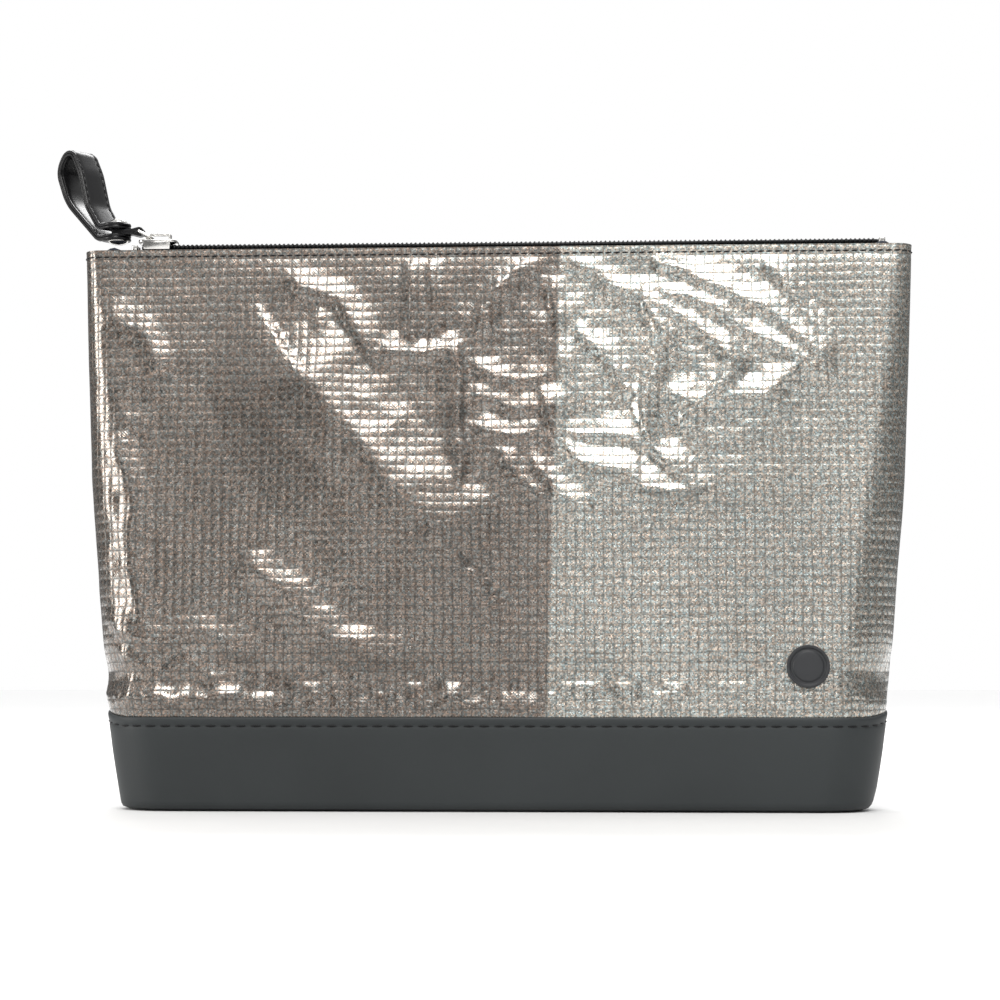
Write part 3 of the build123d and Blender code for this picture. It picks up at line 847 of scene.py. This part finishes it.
def makeWallStitches():
    for side, word in ((-1, "front"), (1, "back")):
        name = word + "_mouth_stitches"
        places = rowPlaces(wallSize, laminate["stitchLevel"], stitches["mouthPitch"], side, -0.08 * mm)
        row = placeCopies(makeStitch(stitches["mouthLength"], stitches["thread"]), places, name)
        finishPiece(row, name, "bag", blackThread, ["mouth_stitching_" + word])
        name = word + "_band_stitches"
        places = rowPlaces(bandSize, band["stitchLevel"], stitches["bandPitch"], side, 0.12 * mm, True, 0.0)
        row = placeCopies(makeStitch(stitches["bandLength"], stitches["thread"] * 1.1), places, name)
        finishPiece(row, name, "bag", blackThread, ["band_stitching_" + word])


zipFacts = {"pitch": 1.5 * mm, "wire": 0.34 * mm, "overlap": 0.42 * mm, "tape": 0.6 * mm, "tapeColumns": 180,
            "endSlope": 4.2 * mm, "endLift": 1.2 * mm}


def makeTapes():
    low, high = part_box("zip_tape_front")
    top = high.z - 0.05 * mm
    ends = high.x
    w, d = wallSize(mouthLevel)
    r = outline["cornerRound"] * d
    for side, word in ((-1, "front"), (1, "back")):
        points, uvs = [], []
        for xs in np.linspace(-ends - 3 * mm, ends + 3 * mm, zipFacts["tapeColumns"]):
            # past the last teeth the tape turns down into the pouch
            past = max(0.0, abs(xs) - (ends - 2.5 * mm))
            down = zipFacts["endSlope"] * (past / (5.5 * mm)) ** 1.5
            down -= zipFacts["endLift"] * min(1, max(0, (abs(xs) - ends + 6 * mm) / (3 * mm)))
            # it reaches to just inside the wall, then hangs down along it
            corner = max(0.0, abs(xs) - (w - r))
            room = d - 1.3 * mm - max(0.0, r - math.sqrt(max(0, r * r - corner ** 2)))
            reach = min(abs(low.y) - 1.2 * mm, max(1.2 * mm, room)) / mm
            rows = [(0.55, 0), (0.8, 0.05), (1.6, 0.05), (2.6, 0.02), (reach * 0.62, 0), (reach * 0.8, -0.08),
                    (reach * 0.95, -0.45), (reach, -1.3), (reach + 0.2, -4), (reach + 0.5, -8)]
            travelled, last = 0.0, rows[0]
            for y, rise in rows:
                travelled += math.hypot(y - last[0], rise - last[1])
                last = (y, rise)
                points.append((xs, side * y * mm, top + rise * mm - down))
                uvs.append((xs, travelled * mm))
        count = len(rows)
        faces = []
        for c in range(zipFacts["tapeColumns"] - 1):
            for row in range(count - 1):
                a = c * count + row
                quad = (a, a + count, a + count + 1, a + 1)
                faces.append(quad if side > 0 else quad[::-1])
        piece = meshPiece(word + "_tape", points, faces)
        setClothMap(piece, uvs)
        thicken(piece, zipFacts["tape"])
        finishPiece(piece, word + "_tape", "bag", tapeCloth, ["zip_tape_" + word], smooth=50)


def makeCoils():
    low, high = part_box("zip_coil_front")
    height = high.z - low.z
    for side, word, shift in ((-1, "front", 0.0), (1, "back", 0.5)):
        inner, outer = -zipFacts["overlap"], abs(low.y)
        tube = 0.3  # of the ring that is then fitted to the size of one turn
        deselectAll()
        bpy.ops.mesh.primitive_torus_add(major_segments=10, minor_segments=6, major_radius=1, minor_radius=tube,
                                         rotation=(0, math.pi / 2, 0))
        turn = bpy.context.object
        bpy.ops.object.transform_apply(location=False, rotation=True, scale=False)
        halfY, halfZ = (outer - inner) / 2, height / 2
        wire = zipFacts["wire"]
        for v in turn.data.vertices:
            ring = math.hypot(v.co.y, v.co.z)
            cy, cz = v.co.y / ring, v.co.z / ring
            off = (ring - 1) / tube * wire
            y = cy * (halfY - wire + off)
            z = cz * (halfZ - wire + off)
            x = v.co.x / tube * wire
            # the head of each tooth is a little fatter, and the turn leans as a coil does
            head = max(0.0, -cy) ** 3
            x = x * (1 + 0.35 * head) + 0.22 * cz * wire
            v.co = (x, side * (y + (outer + inner) / 2), z + (low.z + high.z) / 2)
        turn.location.x = low.x + (0.5 + shift) * zipFacts["pitch"]
        settle(turn)
        middle = Vector(((low.x + high.x) / 2, side * (outer + inner) / 2, (low.z + high.z) / 2))
        turns = turn.modifiers.new("turns", "ARRAY")
        turns.count = int((high.x - low.x) / zipFacts["pitch"] - shift)
        turns.use_relative_offset = False
        turns.use_constant_offset = True
        turns.constant_offset_displace = (zipFacts["pitch"], 0, 0)
        applyModifiers(turn)
        # the cord that runs inside the turns
        deselectAll()
        bpy.ops.mesh.primitive_cylinder_add(vertices=10, radius=halfZ - wire * 1.3, depth=high.x - low.x,
                                            location=middle, rotation=(0, math.pi / 2, 0))
        cord = bpy.context.object
        roundEdges(cord, 0.2 * mm, angle=60)
        cord.scale.y = halfY / halfZ * 0.9
        settle(cord)
        joinPieces([turn, cord])
        faceOutwards(turn, finestGap)
        finishPiece(turn, word + "_coil", "bag", nylon, ["zip_coil_" + word], smooth=60)


def softenedCopy(node, name, body, material, width):
    # a hard CAD shape with its doubles merged and its edges rounded over
    copy = bpy.data.objects.new(name, nodes[node].data.copy())
    bpy.context.scene.collection.objects.link(copy)
    copy.data.materials.clear()
    pick(copy)
    bpy.ops.object.mode_set(mode="EDIT")
    bpy.ops.mesh.select_all(action="SELECT")
    bpy.ops.mesh.remove_doubles(threshold=0.000005)
    bpy.ops.mesh.dissolve_limited(angle_limit=math.radians(2))
    bpy.ops.object.mode_set(mode="OBJECT")
    roundEdges(copy, width, 2, 50)
    return finishPiece(copy, name, body, material, [node], smooth=40)


def makeMetal():
    softenedCopy("slider_body", "slider", "slider", nickel, 0.22 * mm)
    softenedCopy("slider_bridge", "bridge", "slider", nickel, 0.25 * mm)
    softenedCopy("zip_bottom_stop", "bottom_stop", "bag", nickel, 0.2 * mm)
    softenedCopy("zip_top_stops", "top_stops", "bag", nickel, 0.1 * mm)
    # the link is round wire already and keeps its CAD mesh
    link = nodes["pull_ring"]
    link.data.materials.clear()
    link.data.materials.append(nickel)
    pick(link)
    bpy.ops.object.shade_smooth_by_angle(angle=math.radians(50))
    for word in ("left", "right"):
        softenedCopy("side_seam_" + word, word + "_seam_binding", "bag", bindingCloth, 0.25 * mm)


strap = {
    "across": 42.0,  # degrees that the loop is turned away from the zip's line
    "width": 10.0 * mm, "leather": 1.1 * mm, "backing": 0.9 * mm,
    "rows": 3.8 * mm, "rowEnd": 6.2,  # of the stitches: how far from the middle line and from each end
    # where leather and backing meet, along the strap's run and up, in millimetres from the rivet
    "line": [(-3.6, -1.9), (5.5, -1.9), (24.0, 13.2), (29.8, 25.0), (23.0, 33.2), (16.6, 22.6), (12.4, 10.4),
             (5.5, 1.9), (-3.6, 1.9)],
    "bends": [5.0, 20.0, 5.8, 4.0, 20.0, 11.0, 4.0],
    "tailRound": 4.6 * mm,
}


def bentLine(points, bends, step=0.35):
    # straight runs joined by round bends, as points and directions
    rounded = [np.array(points[0], float)]
    for before, corner, after, radius in zip(points[:-2], points[1:-1], points[2:], bends):
        before, corner, after = (np.array(p, float) for p in (before, corner, after))
        a = (before - corner) / np.linalg.norm(before - corner)
        b = (after - corner) / np.linalg.norm(after - corner)
        angle = math.acos(float(np.clip(a @ b, -1, 1)))
        cut = radius / math.tan(angle / 2)
        middle = (a + b) / np.linalg.norm(a + b)
        centre = corner + middle * radius / math.sin(angle / 2)
        start, end = corner + a * cut - centre, corner + b * cut - centre
        sweep = math.atan2(start[0] * end[1] - start[1] * end[0], start @ end)
        count = max(3, int(abs(sweep) * radius / step))
        for i in range(count + 1):
            t = sweep * i / count
            c, s = math.cos(t), math.sin(t)
            rounded.append(centre + np.array([c * start[0] - s * start[1], s * start[0] + c * start[1]]))
    rounded.append(np.array(points[-1], float))
    # even spacing
    line = np.array(rounded)
    travelled = np.concatenate([[0], np.cumsum(np.linalg.norm(np.diff(line, axis=0), axis=1))])
    even = np.linspace(0, travelled[-1], int(travelled[-1] / step) + 1)
    x, y = np.interp(even, travelled, line[:, 0]), np.interp(even, travelled, line[:, 1])
    dx, dy = np.gradient(x), np.gradient(y)
    size = np.hypot(dx, dy)
    return even, x, y, dx / size, dy / size


rivetLow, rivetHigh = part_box("rivet_cap")
rivetX = (rivetLow.x + rivetHigh.x) / 2
rivetMiddle = (rivetHigh.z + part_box("rivet_post")[0].z) / 2
strapAngle = math.radians(strap["across"])
runWay = Vector((-math.cos(strapAngle), math.sin(strapAngle), 0))
crossWay = Vector((math.sin(strapAngle), math.cos(strapAngle), 0))
strapOrigin = Vector((rivetX, 0, rivetMiddle))


def strapPoint(a, b, across):
    return strapOrigin + runWay * a + crossWay * across + Vector((0, 0, b))


def plySection(depth, crown):
    # all round the ply: how far across, as a share of half its width, and how deep into its thickness;
    # the face has a rolled edge, a pressed groove and a low crown
    face = [(-1.0, depth * 0.5), (-0.985, depth * 0.22), (-0.94, depth * 0.04), (-0.86, -0.06 * mm),
            (-0.80, 0.02 * mm), (-0.76, 0.13 * mm), (-0.72, 0.03 * mm), (-0.5, -crown * 0.7), (-0.25, -crown),
            (0.0, -crown * 1.08)]
    back = [(0.985, 0.78), (0.93, 1), (0.5, 1), (0, 1), (-0.5, 1), (-0.93, 1), (-0.985, 0.78)]
    return face + [(-s, h) for s, h in face[-2::-1]] + [(s, depth * h) for s, h in back]


def makePly(name, node, depth, crown, outward):
    # outward is 1 for the leather, which is right of travel, and -1 for the backing
    even, x, y, dx, dy = bentLine(strap["line"], strap["bends"])
    half = strap["width"] / 2
    loop = plySection(depth, crown)
    total = even[-1] * mm
    points, uvs = [], []
    for s, px, py, tx, ty in zip(even, x, y, dx, dy):
        at = s * mm
        fromEnd = min(at, total - at)
        r = strap["tailRound"]
        narrow = r - math.sqrt(max(0, r * r - max(0, r - fromEnd) ** 2))
        width = half - narrow
        thin = min(1.0, 0.35 + fromEnd / (1.2 * mm))
        rx, ry = ty, -tx  # to the right of travel
        for share, sink in loop:
            sink = depth * 0.5 + (sink - depth * 0.5) * thin
            out = (depth - sink) * outward / mm
            points.append(strapPoint((px + rx * out) * mm, (py + ry * out) * mm, share * width))
            uvs.append((at, share * width))
    count, length = len(loop), len(even)
    faces = []
    for i in range(length - 1):
        for j in range(count):
            a, b = i * count + j, i * count + (j + 1) % count
            faces.append((a, b, b + count, a + count))
    faces.append(tuple(range(count))[::-1])
    faces.append(tuple((length - 1) * count + j for j in range(count)))
    piece = meshPiece(name, points, faces)
    faceOutwards(piece, finestGap)
    return finishPiece(piece, name, "pull_strap", strapLeather, [node], smooth=50)


def makeStrap():
    makePly("strap_leather", "pull_strap", strap["leather"], 0.16 * mm, 1)
    makePly("strap_backing", "strap_lining", strap["backing"], 0.05 * mm, -1)
    softenedCopy("strap_keeper", "keeper", "pull_strap", strapLeather, 0.28 * mm)
    even, x, y, dx, dy = bentLine(strap["line"], strap["bends"])
    total = even[-1]
    pitch = stitches["strapPitch"] / mm
    places = []
    for row in (-1, 1):
        for s in np.arange(strap["rowEnd"], total - strap["rowEnd"], pitch):
            px, py = np.interp(s, even, x), np.interp(s, even, y)
            tx, ty = np.interp(s, even, dx), np.interp(s, even, dy)
            size = math.hypot(tx, ty)
            tx, ty = tx / size, ty / size
            rx, ry = ty, -tx
            out = strap["leather"] / mm - 0.02
            where = strapPoint((px + rx * out) * mm, (py + ry * out) * mm, row * strap["rows"])
            along = runWay * tx + Vector((0, 0, ty))
            away = runWay * rx + Vector((0, 0, ry))
            places.append(basis(where, along + crossWay * 0.06, away))
    row = placeCopies(makeStitch(stitches["strapLength"], 0.42 * mm), places, "strap_stitches")
    finishPiece(row, "strap_stitches", "pull_strap", blackThread, ["strap_stitching"])


# the lower dome clears the teeth when the slider runs along them
rivet = {"shank": 1.5 * mm, "upperDome": 0.8 * mm, "lowerDome": 0.3 * mm, "steps": 40}


def makeRivetCap(name, node, top, radius, height):
    # a dome spun from half its outline, with a rolled lip; top is 1 for the upper cap and -1 for the lower one
    low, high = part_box(node)
    seat = (high.z - height) if top > 0 else (low.z + height)
    full = height + (rivet["upperDome"] if top > 0 else rivet["lowerDome"])
    shares = [(0, 1), (0.25, 0.97), (0.5, 0.87), (0.72, 0.68), (0.86, 0.46), (0.94, 0.30), (0.99, 0.18),
              (1, 0.08), (0.97, 0), (0.6, 0), (0, 0)]
    profile = [(radius * across, full * up) for across, up in shares]
    points = [(rivetX + across, 0, seat + top * h) for across, h in profile]
    cap = meshPiece(name, points, [], [(i, i + 1) for i in range(len(points) - 1)])
    pick(cap)
    bpy.ops.object.mode_set(mode="EDIT")
    bpy.ops.mesh.select_all(action="SELECT")
    bpy.ops.mesh.spin(steps=rivet["steps"], dupli=False, angle=2 * math.pi, center=(rivetX, 0, 0),
                      axis=(0, 0, 1))
    bpy.ops.mesh.select_all(action="SELECT")
    bpy.ops.mesh.remove_doubles(threshold=0.00001)
    bpy.ops.mesh.normals_make_consistent(inside=False)
    bpy.ops.object.mode_set(mode="OBJECT")
    return cap


def makeRivet():
    radius = (rivetHigh.x - rivetLow.x) / 2
    height = rivetHigh.z - rivetLow.z
    upper = makeRivetCap("upper_rivet_cap", "rivet_cap", 1, radius * 0.9, height)
    finishPiece(upper, "upper_rivet_cap", "pull_strap", nickel, ["rivet_cap"])
    lower = makeRivetCap("lower_rivet_cap", "rivet_post", -1, radius, height)
    postLow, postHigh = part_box("rivet_post")
    deselectAll()
    depth = postHigh.z - postLow.z - height
    bpy.ops.mesh.primitive_cylinder_add(vertices=32, radius=rivet["shank"], depth=depth,
                                        location=(rivetX, 0, postLow.z + height + depth / 2))
    shank = bpy.context.object
    roundEdges(shank, 0.15 * mm)
    settle(shank)
    joinPieces([lower, shank])
    finishPiece(lower, "lower_rivet", "pull_strap", nickel, ["rivet_post"])


badge = {"radius": 7.0 * mm, "thickness": 1.5 * mm,
         "steps": [(0.9, 0), (0.25, -0.45), (0.7, 0), (0.35, 0.38), (1.2, 0.12), (1.4, 0.05)]}


def makeBadge():
    low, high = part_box("badge")
    middle = (low + high) / 2
    _, nearDepth = wallSize(low.z)
    _, farDepth = wallSize(high.z)
    lean = math.atan2(nearDepth - farDepth, high.z - low.z)
    out = Vector((0, -math.cos(lean), math.sin(lean)))
    deselectAll()
    bpy.ops.mesh.primitive_cylinder_add(vertices=64, radius=badge["radius"], depth=badge["thickness"])
    disc = bpy.context.object
    bpy.ops.object.mode_set(mode="EDIT")
    edit = bmesh.from_edit_mesh(disc.data)
    for face in edit.faces:
        face.select = face.normal.z > 0.9
    bmesh.update_edit_mesh(disc.data)
    # a rim, a trough inside it and a raised field
    for inward, rise in badge["steps"]:
        bpy.ops.mesh.inset(thickness=inward * mm, depth=rise * mm)
    bpy.ops.object.mode_set(mode="OBJECT")
    roundEdges(disc, 0.16 * mm, 3)
    disc.data.transform(basis(middle, Vector((1, 0, 0)), out))
    finishPiece(disc, "badge_disc", "bag", badgeSatin, ["badge"], smooth=35)


cardWall = {"radius": 1.6, "height": 0.68}
studio = {"near": 0.60, "mottle": 0.03, "far": 0.95, "sky": 1.0}


def makeStage():
    floorMaterial, kit, shader = newMaterial("pale floor", Roughness=0.6)
    mottled = kit.noise(placeVector(kit), 30, 3)
    near = kit.mix(mottled.outputs["Fac"], (studio["near"],) * 3, (studio["near"] + studio["mottle"],) * 3)
    # paler further out, so that the paper stays even where less light falls on it
    reach = kit.add("ShaderNodeVectorMath", operation="LENGTH")
    kit.join(placeVector(kit), reach.inputs[0])
    paper = kit.mix(kit.ramp(reach.outputs["Value"], 0.16, 0.75), near, (studio["far"],) * 3)
    kit.join(paper, shader.inputs["Base Color"])
    deselectAll()
    bpy.ops.mesh.primitive_plane_add(size=12, location=(0, 0, -0.00005))
    floor = bpy.context.object
    floor.name = "floor"
    floor.data.materials.append(floorMaterial)
    # a low dark wall all round the table, for the film to reflect; the camera looks through it
    wallMaterial, kit, shader = newMaterial("dark card", Roughness=0.9)
    mottled = kit.noise(placeVector(kit), 4, 2)
    card = kit.mix(mottled.outputs["Fac"], (0.09, 0.09, 0.09), (0.14, 0.14, 0.14))
    kit.join(card, shader.inputs["Base Color"])
    deselectAll()
    bpy.ops.mesh.primitive_cylinder_add(vertices=96, radius=cardWall["radius"], depth=cardWall["height"],
                                        end_fill_type="NOTHING", location=(0, 0, cardWall["height"] / 2))
    wall = bpy.context.object
    wall.name = "dark_card"
    wall.visible_camera = False
    wall.visible_shadow = False
    wall.visible_diffuse = False
    wall.data.materials.append(wallMaterial)
    world = bpy.data.worlds.new("studio")
    bpy.context.scene.world = world
    world.use_nodes = True
    world.node_tree.nodes["Background"].inputs[0].default_value = (1, 1, 1, 1)
    world.node_tree.nodes["Background"].inputs[1].default_value = studio["sky"]


def areaLight(name, place, target, size, power, colour=(1, 1, 1)):
    light = bpy.data.lights.new(name, "AREA")
    light.shape = "RECTANGLE"
    light.size, light.size_y = size
    light.energy = power
    light.color = colour
    lamp = bpy.data.objects.new(name, light)
    lamp.location = place
    lamp.rotation_euler = (Vector(target) - Vector(place)).to_track_quat("-Z", "Y").to_euler()
    bpy.context.scene.collection.objects.link(lamp)


def makeLights():
    areaLight("key above the front", (0.1, -0.9, 1.3), (0, 0, 0.12), (0.95, 0.4), 20, (1.0, 0.99, 0.97))
    areaLight("side card", (-1.1, -0.35, 0.35), (0, 0, 0.1), (0.35, 0.6), 7, (1.0, 0.98, 0.95))
    areaLight("low front card", (0.15, -1.45, 0.33), (0, 0, 0.05), (1.2, 0.16), 2.3, (1.0, 0.99, 0.98))
    areaLight("key above the back", (-0.1, 0.9, 1.25), (0, 0, 0.12), (0.9, 0.45), 15)


camera = {"distance": 0.8, "turn": 3.0, "height": 45 * mm, "pitch": 3.0, "lens": 85.4, "shift": 0.050,
          "middle": 1.5 * mm}


def makeCamera():
    data = bpy.data.cameras.new("front")
    data.lens = camera["lens"]
    data.sensor_width = 36
    data.shift_y = camera["shift"]
    data.dof.use_dof = False
    data.clip_start = 0.01
    eye = bpy.data.objects.new("front", data)
    turn = math.radians(camera["turn"])
    across = camera["middle"] + camera["distance"] * math.sin(turn)
    eye.location = (across, -camera["distance"] * math.cos(turn), camera["height"])
    eye.rotation_euler = (math.radians(90 + camera["pitch"]), 0, turn)
    bpy.context.scene.collection.objects.link(eye)
    bpy.context.scene.camera = eye


makeWalls()
makeFloor()
print("walls and linings made")
makeBands()
makeWallStitches()
print("bands and stitches made")
makeTapes()
makeCoils()
makeMetal()
print("zip made")
makeStrap()
makeRivet()
makeBadge()
print("strap and badge made")
makeStage()
makeLights()
makeCamera()
bpy.context.scene.view_settings.view_transform = "Standard"
